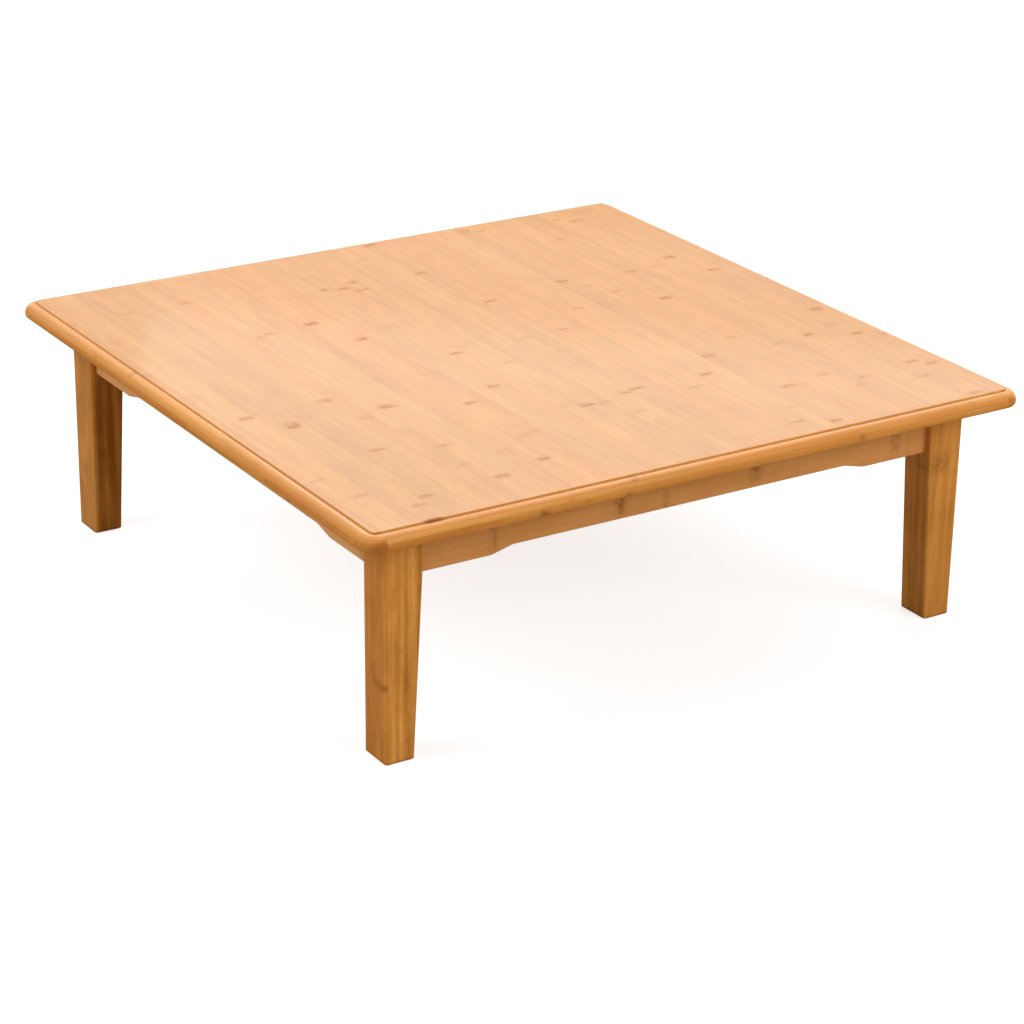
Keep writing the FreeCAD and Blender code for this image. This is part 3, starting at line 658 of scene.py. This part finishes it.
def dress_wood():
    dress("top_panel", bamboo("top_wood", "top", FIELD, edges_worn_and_lit=False, knots=TOP_KNOTS))
    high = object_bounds()[1]
    ledge = Ledge(high.z - LEDGE_DROP, high.z - FIELD_EASE, high.x - LEDGE_WIDTH, high.y - LEDGE_WIDTH)
    for number, side in enumerate(SIDES):
        dress_side(number, side, ledge)
    for number, corner in enumerate(CORNERS):
        dress_corner(number, corner)
    for number, end in enumerate(("front", "rear")):
        dress(f"batten_{end}",
              bamboo(f"batten_wood_{end}", "inner", laid_in("batten", Y_AXIS, Z_AXIS, X_AXIS, number)))


dress_wood()

# Steel

GRIME = srgb(96, 90, 80)
# How strongly grime shows at its fullest, and how much it roughens the metal
GRIME_SHARE, GRIME_ROUGHNESS = 0.35, 0.5
TURNING_RISE = 0.004 * MM


def steel(name, base, tint, roughness, tint_share):
    """Zinc-plated steel with a faint drift of colour, some grime and fine turning marks."""
    material, graph = new_material(name)
    place = graph.add("ShaderNodeTexCoord").outputs["Object"]
    drift = graph.noise(place, scale=260.0, detail=3.0)
    colour = graph.mix(graph.ease(drift, 0.4, 0.65, 0.0, tint_share), srgb(*base), srgb(*tint))
    grime = graph.ease(graph.noise(place, scale=900.0, detail=4.0), 0.55, 0.75, 0.0, GRIME_SHARE)
    fine = graph.times(graph.noise(place, scale=4200.0, detail=2.0), TURNING_RISE)
    graph.show(graph.add("ShaderNodeBsdfPrincipled", {
        "Base Color": graph.mix(grime, colour, GRIME), "Normal": graph.bump(fine, 0.6), "Metallic": 1.0,
        "Roughness": graph.math("MULTIPLY_ADD", grime, GRIME_ROUGHNESS, roughness),
    }))
    return material


screw_metal = steel("yellow_zinc", (214, 196, 138), (202, 170, 120), 0.28, 0.8)
bolt_metal = steel("bright_zinc", (206, 208, 212), (180, 186, 196), 0.24, 0.6)

# Forms of the fasteners

# Each form lies along +Z, with its seat at the origin. A thread has the radii of its core and crests, its
# pitch, the length over which it grows out of the core, its rows to a turn and how slim its ridge is.
Thread = namedtuple("Thread", "core crest pitch fade steps sharpness", defaults=(5, 1.0))
SCREW_THREAD = Thread(1.35 * MM, 2.0 * MM, 1.7 * MM, fade=2 * MM)
MACHINE_THREAD = Thread(3.4 * MM, 3.98 * MM, 1.25 * MM, fade=0.9 * MM)
COARSE_THREAD = Thread(3.0 * MM, 3.98 * MM, 3.2 * MM, fade=4 * MM, steps=8, sharpness=1.6)

SCREW_HEAD_HEIGHT = 2.4 * MM
SCREW_SHANK_LENGTH = 4.0 * MM
SCREW_TIP_LENGTH, SCREW_TIP_POINT, SCREW_TIP_RADIUS = 3.5 * MM, 0.8 * MM, 0.5 * MM
# Radius and level in millimetres, from the shank under the head to the rim of the recess
SCREW_PROFILE = ((1.7, 2.5), (1.7, 0.2), (2.0, 0.0), (3.8, 0.0), (4.0, -0.25), (4.0, -0.8),
                 (3.85, -1.35), (3.5, -1.8), (2.95, -2.15), (2.5, -2.3))
RECESS_ARM, RECESS_HALF_WIDTH = 2.1 * MM, 0.42 * MM
# The recess from its mouth in: its size in X and in Y as shares of the mouth's, and its level
RECESS_ROWS = ((1.0, 1.0, -2.36), (0.97, 0.97, -2.25), (0.62, 0.72, -1.0))
RECESS_FLOOR = -0.75 * MM

BOLT_FACETS = 28
BOLT_MACHINE_LENGTH = 34 * MM
BOLT_START_CHAMFER, BOLT_START_RADIUS = 0.7 * MM, 3.1 * MM
BOLT_SHANK_START, BOLT_SHANK_END, BOLT_SHANK_RADIUS = 0.6 * MM, 2 * MM, 3.6 * MM
BOLT_TIP_LENGTH, BOLT_TIP_POINT, BOLT_TIP_RADIUS = 5.0 * MM, 0.5 * MM, 0.8 * MM

WASHER_FACETS = 64
WASHER_RADIUS, WASHER_BORE, WASHER_BEVEL = 11 * MM, 4.25 * MM, 0.25 * MM

NUT_FACETS = 72
NUT_ACROSS_FLATS, NUT_BORE, NUT_SINK = 13 * MM, 4.0 * MM, 0.5 * MM
NUT_SHOULDER_SHARE = 0.96
NUT_CHAMFER = math.radians(30)

# How far each screw or nut is turned from the one before, in radians
SCREW_SPIN, NUT_SPIN = 2.4, 0.31


def skin(rows, ring=False):
    """Faces between rows of points. A row of one point closes the form, and a ring joins last to first."""
    verts, faces, spans = [], [], []
    for row in rows:
        spans.append((len(verts), len(row)))
        verts.extend(row)
    pairs = list(zip(spans, spans[1:]))
    if ring:
        pairs.append((spans[-1], spans[0]))
    for (start, count), (other, other_count) in pairs:
        steps = max(count, other_count)
        for step in range(steps):
            following = (step + 1) % steps
            if count == 1:
                faces.append((start, other + following, other + step))
            elif other_count == 1:
                faces.append((start + step, start + following, other))
            else:
                faces.append((start + step, start + following, other + following, other + step))
    return verts, faces


def circle(radius, level, turns):
    return [(radius * math.cos(turn), radius * math.sin(turn), level) for turn in turns]


def even_turns(count):
    return [2 * math.pi * step / count for step in range(count)]


def thread_rows(start, end, thread, turns):
    """Rows of a helical thread between two levels."""
    rows = []
    count = max(2, round((end - start) / thread.pitch * thread.steps))
    for number in range(count + 1):
        level = start + (end - start) * number / count
        grown = min(1.0, min(level - start, end - level) / thread.fade)
        row = []
        for turn in turns:
            phase = (level / thread.pitch - turn / (2 * math.pi)) % 1.0
            rise = max(0.0, 1.0 - abs(phase - 0.5) * 2 * thread.sharpness)
            radius = thread.core + (thread.crest - thread.core) * rise * grown
            row.append((radius * math.cos(turn), radius * math.sin(turn), level))
        rows.append(row)
    return rows


def cross_outline(arm, half_width):
    """The outline of a cross recess, six points in each quarter."""
    middle = (arm + half_width) / 2
    quarter = [(arm, 0), (arm, half_width), (middle, half_width), (half_width, half_width),
               (half_width, middle), (half_width, arm)]
    points = []
    for turn in range(4):
        cosine, sine = round(math.cos(turn * math.pi / 2)), round(math.sin(turn * math.pi / 2))
        points += [(x * cosine - y * sine, x * sine + y * cosine) for x, y in quarter]
    return points


def screw_skin(length):
    """A pan-headed wood screw with a cross recess. The head is behind the origin."""
    outline = cross_outline(RECESS_ARM, RECESS_HALF_WIDTH)
    turns = [math.atan2(y, x) % (2 * math.pi) for x, y in outline]
    rows = [[(0, 0, length)], circle(SCREW_TIP_RADIUS, length - SCREW_TIP_POINT, turns)]
    rows += reversed(thread_rows(SCREW_SHANK_LENGTH, length - SCREW_TIP_LENGTH, SCREW_THREAD, turns))
    rows += [circle(radius * MM, level * MM, turns) for radius, level in SCREW_PROFILE]
    for x_share, y_share, level in RECESS_ROWS:
        rows.append([(x * x_share, y * y_share, level * MM) for x, y in outline])
    rows.append([(0, 0, RECESS_FLOOR)])
    return skin(rows)


def bolt_skin(length):
    """A hanger bolt: a machine thread at the nut's end and a coarse thread in the leg."""
    turns = even_turns(BOLT_FACETS)
    machine_end = BOLT_MACHINE_LENGTH
    rows = [[(0, 0, 0)], circle(BOLT_START_RADIUS, 0.0, turns)]
    rows += thread_rows(BOLT_START_CHAMFER, machine_end, MACHINE_THREAD, turns)
    rows += [circle(BOLT_SHANK_RADIUS, machine_end + BOLT_SHANK_START, turns)]
    rows += thread_rows(machine_end + BOLT_SHANK_END, length - BOLT_TIP_LENGTH, COARSE_THREAD, turns)
    rows += [circle(BOLT_TIP_RADIUS, length - BOLT_TIP_POINT, turns), [(0, 0, length)]]
    return skin(rows)


def nut_skin(height):
    """A hexagon nut with both faces chamfered, and a countersunk bore."""
    turns = even_turns(NUT_FACETS)
    flat = NUT_ACROSS_FLATS / 2
    shoulder = flat * NUT_SHOULDER_SHARE
    low, high = [], []
    for turn in turns:
        off = (turn + math.pi / 6) % (math.pi / 3) - math.pi / 6
        radius = flat / math.cos(off)
        fall = (radius - shoulder) * math.tan(NUT_CHAMFER)
        low.append((radius * math.cos(turn), radius * math.sin(turn), fall))
        high.append((radius * math.cos(turn), radius * math.sin(turn), height - fall))
    rows = [circle(NUT_BORE, NUT_SINK, turns), circle(NUT_BORE + NUT_SINK, 0.0, turns),
            circle(shoulder, 0.0, turns), low, high, circle(shoulder, height, turns),
            circle(NUT_BORE + NUT_SINK, height, turns), circle(NUT_BORE, height - NUT_SINK, turns)]
    return skin(list(reversed(rows)), ring=True)


def washer_skin(thickness):
    """A washer bevelled round its rim, and half as much round its bore."""
    turns = even_turns(WASHER_FACETS)
    bevel, bore, radius = WASHER_BEVEL, WASHER_BORE, WASHER_RADIUS
    profile = ((bore, bevel / 2), (bore + bevel / 2, 0), (radius - bevel, 0), (radius, bevel),
               (radius, thickness - bevel), (radius - bevel, thickness),
               (bore + bevel / 2, thickness), (bore, thickness - bevel / 2))
    rows = [circle(size, level, turns) for size, level in profile]
    return skin(list(reversed(rows)), ring=True)


# Where the fasteners go

# Points nearer than the first are one point, points as near as the second to a screw's widest belong to
# its head, and an edge that turns by more than the angle stays sharp
SAME_POINT, HEAD_MARGIN, SHARP_ANGLE = 0.01 * MM, 0.1 * MM, math.radians(32)


def islands(node):
    """The corner points of each separate solid of a CAD node."""
    work = bmesh.new()
    work.from_mesh(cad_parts[node].data)
    bmesh.ops.remove_doubles(work, verts=work.verts, dist=SAME_POINT)
    left = set(work.verts)
    found = []
    while left:
        todo = [left.pop()]
        points = []
        while todo:
            vert = todo.pop()
            points.append(vert.co.copy())
            for edge in vert.link_edges:
                other = edge.other_vert(vert)
                if other in left:
                    left.remove(other)
                    todo.append(other)
        found.append(np.array(points))
    work.free()
    return sorted(found, key=lambda points: tuple(np.round(points.mean(0), 5)))


def box_middle(points):
    return (points.min(0) + points.max(0)) / 2


def ends_of(points, way):
    """The middle of the solid's two ends along a direction: where it starts, and where it stops."""
    middle = box_middle(points)
    spans = (points - middle) @ way
    return middle + way * spans.min(), middle + way * spans.max()


def screw_way(points):
    """The direction a screw points: along its longest side, away from its wide head."""
    axis = int((points.max(0) - points.min(0)).argmax())
    middle = box_middle(points)
    others = [number for number in range(3) if number != axis]
    off_axis = np.linalg.norm((points - middle)[:, others], axis=1)
    head = points[off_axis > off_axis.max() - HEAD_MARGIN].mean(0)
    way = np.zeros(3)
    way[axis] = -np.sign(head[axis] - middle[axis])
    return way


def corner_way(points):
    """The level direction from the table's middle to the corner where a solid lies."""
    x, y, _ = points.mean(0)
    return np.array([math.copysign(HALF_ROOT, x), math.copysign(HALF_ROOT, y), 0.0])


def aimed(seat, way, spin=0.0):
    """The placement that puts a form's origin at its seat and its +Z along the way."""
    turn = Vector(way).to_track_quat("Z", "Y").to_matrix().to_4x4()
    return Matrix.Translation(Vector(seat)) @ turn @ Matrix.Rotation(spin, 4, "Z")


def assemble(name, node, material, made):
    """One object for a group of like fasteners. Made gives, for each, its skin and its placement."""
    verts, faces = [], []
    for (points, polygons), matrix in made:
        start = len(verts)
        verts += [matrix @ Vector(point) for point in points]
        faces += [tuple(index + start for index in polygon) for polygon in polygons]
    data = bpy.data.meshes.new(name)
    data.from_pydata(verts, [], faces)
    work = bmesh.new()
    work.from_mesh(data)
    bmesh.ops.recalc_face_normals(work, faces=work.faces)
    work.to_mesh(data)
    work.free()
    data.polygons.foreach_set("use_smooth", [True] * len(data.polygons))
    data.set_sharp_from_angle(angle=SHARP_ANGLE)
    data.materials.append(material)
    piece = bpy.data.objects.new(name, data)
    bpy.context.scene.collection.objects.link(piece)
    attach(piece, "root")
    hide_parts(node)


def make_screws(node):
    made = []
    for number, points in enumerate(islands(node)):
        way = screw_way(points)
        start, end = ends_of(points, way)
        length = float(np.linalg.norm(end - start)) - SCREW_HEAD_HEIGHT
        seat = start + way * SCREW_HEAD_HEIGHT
        made.append((screw_skin(length), aimed(seat, way, spin=number * SCREW_SPIN)))
    assemble(f"{node}_threaded", node, screw_metal, made)


def make_bolt_parts(node, name, form, spin=0.0):
    """The hanger bolts, their washers or their nuts, each as long as its solid."""
    made = []
    for number, points in enumerate(islands(node)):
        way = corner_way(points)
        start, end = ends_of(points, way)
        made.append((form(float(np.linalg.norm(end - start))), aimed(start, way, spin=number * spin)))
    assemble(name, node, bolt_metal, made)


for screws in ("brace_screws", "brace_top_screws", "batten_screws", "cleat_screws"):
    make_screws(screws)
make_bolt_parts("hanger_bolts", "hanger_bolts_threaded", bolt_skin)
make_bolt_parts("bolt_washers", "bolt_washers_bevelled", washer_skin)
make_bolt_parts("bolt_nuts", "bolt_nuts_chamfered", nut_skin, spin=NUT_SPIN)

# Floor, light and camera

FLOOR_REACH = 12.0
# What the floor gives back of the light, and what it glows with where it is seen, which adds up to white
FLOOR_GREY = (0.50, 0.50, 0.50, 1.0)
FLOOR_GLOW = 0.75
# The sky's share of the light, where it lights the table and isn't seen
AMBIENT = 0.40
BELOW_TOP = (0.0, 0.0, 0.25)
TABLE_TOP = (0.0, 0.0, 0.30)

Lamp = namedtuple("Lamp", "place target width height radiance mirrored", defaults=(True,))
# The cards are there for their reflection in the lacquer, and the front and left lamps for their light
LAMPS = {
    "overhead": Lamp((1.1, 1.3, 2.4), BELOW_TOP, 2.4, 2.0, 1.85),
    "front": Lamp((1.65, -3.4, 1.95), BELOW_TOP, 2.6, 2.0, 4.1, mirrored=False),
    "left": Lamp((-3.3, 0.8, 2.6), BELOW_TOP, 2.6, 2.0, 3.9, mirrored=False),
    "rear_card": Lamp((1.45, 2.28, 1.86), TABLE_TOP, 4.4, 1.72, 0.55),
    "near_card": Lamp((1.85, 2.32, 1.75), TABLE_TOP, 2.4, 0.8, 0.72),
}
# The photograph's viewpoint, solved from the table's own edges: angles in degrees, lens in millimetres
CAMERA_PLACE = (-1.8599, -2.9420, 1.5372)
CAMERA_YAW, CAMERA_PITCH, CAMERA_ROLL = 32.505, 22.795, 0.907
CAMERA_LENS, CAMERA_SENSOR = 105.216, 36.0
CAMERA_FAR = 50.0


def shown_directly(graph):
    """1 for rays from the camera, or seen in gloss or through glass, and 0 for those that light."""
    rays = graph.add("ShaderNodeLightPath").outputs
    return graph.larger(graph.larger(rays["Is Camera Ray"], rays["Is Glossy Ray"]),
                        rays["Is Transmission Ray"])


def make_floor():
    corners = [(x * FLOOR_REACH, y * FLOOR_REACH, 0) for x, y in ((-1, -1), (1, -1), (1, 1), (-1, 1))]
    data = bpy.data.meshes.new("floor")
    data.from_pydata(corners, [], [(0, 1, 2, 3)])
    floor = bpy.data.objects.new("floor", data)
    bpy.context.scene.collection.objects.link(floor)
    material, graph = new_material("floor_white")
    paper = graph.add("ShaderNodeBsdfDiffuse", {"Color": FLOOR_GREY}).outputs[0]
    lift = graph.times(shown_directly(graph), FLOOR_GLOW)
    glow = graph.add("ShaderNodeEmission", {"Color": WHITE, "Strength": lift}).outputs[0]
    graph.show(graph.add("ShaderNodeAddShader", {0: paper, 1: glow}))
    data.materials.append(material)


def make_world():
    world = bpy.data.worlds.new("studio")
    bpy.context.scene.world = world
    world.use_nodes = True
    world.node_tree.nodes.clear()
    graph = Graph(world.node_tree)
    strength = graph.math("MULTIPLY_ADD", shown_directly(graph), 1.0 - AMBIENT, AMBIENT)
    graph.show(graph.add("ShaderNodeBackground", {"Color": WHITE, "Strength": strength}), "World")


def make_lamp(name, lamp):
    """A soft rectangle of light. Its radiance is 1 where white paper lit to full looks white."""
    data = bpy.data.lights.new(name, "AREA")
    data.shape = "RECTANGLE"
    data.size, data.size_y = lamp.width, lamp.height
    data.energy = lamp.radiance * math.pi * lamp.width * lamp.height
    light = bpy.data.objects.new(name, data)
    light.location = lamp.place
    light.rotation_mode = "QUATERNION"
    light.rotation_quaternion = (Vector(lamp.target) - Vector(lamp.place)).to_track_quat("-Z", "Y")
    light.visible_camera = False
    light.visible_glossy = lamp.mirrored
    bpy.context.scene.collection.objects.link(light)


def make_camera():
    yaw, pitch, roll = (math.radians(angle) for angle in (CAMERA_YAW, CAMERA_PITCH, CAMERA_ROLL))
    ahead = Vector((math.sin(yaw) * math.cos(pitch), math.cos(yaw) * math.cos(pitch), -math.sin(pitch)))
    level = Vector((math.cos(yaw), -math.sin(yaw), 0.0))
    upright = level.cross(ahead)
    right = math.cos(roll) * level + math.sin(roll) * upright
    up = math.cos(roll) * upright - math.sin(roll) * level
    data = bpy.data.cameras.new("camera")
    data.sensor_fit = "HORIZONTAL"
    data.sensor_width = CAMERA_SENSOR
    data.lens = CAMERA_LENS
    data.clip_end = CAMERA_FAR
    camera = bpy.data.objects.new("camera", data)
    turn = Matrix((right, up, -ahead)).transposed().to_4x4()
    camera.matrix_world = Matrix.Translation(CAMERA_PLACE) @ turn
    bpy.context.scene.collection.objects.link(camera)
    bpy.context.scene.camera = camera


make_floor()
make_world()
for lamp_name, lamp in LAMPS.items():
    make_lamp(lamp_name, lamp)
make_camera()
bpy.context.scene.view_settings.view_transform = "Standard"
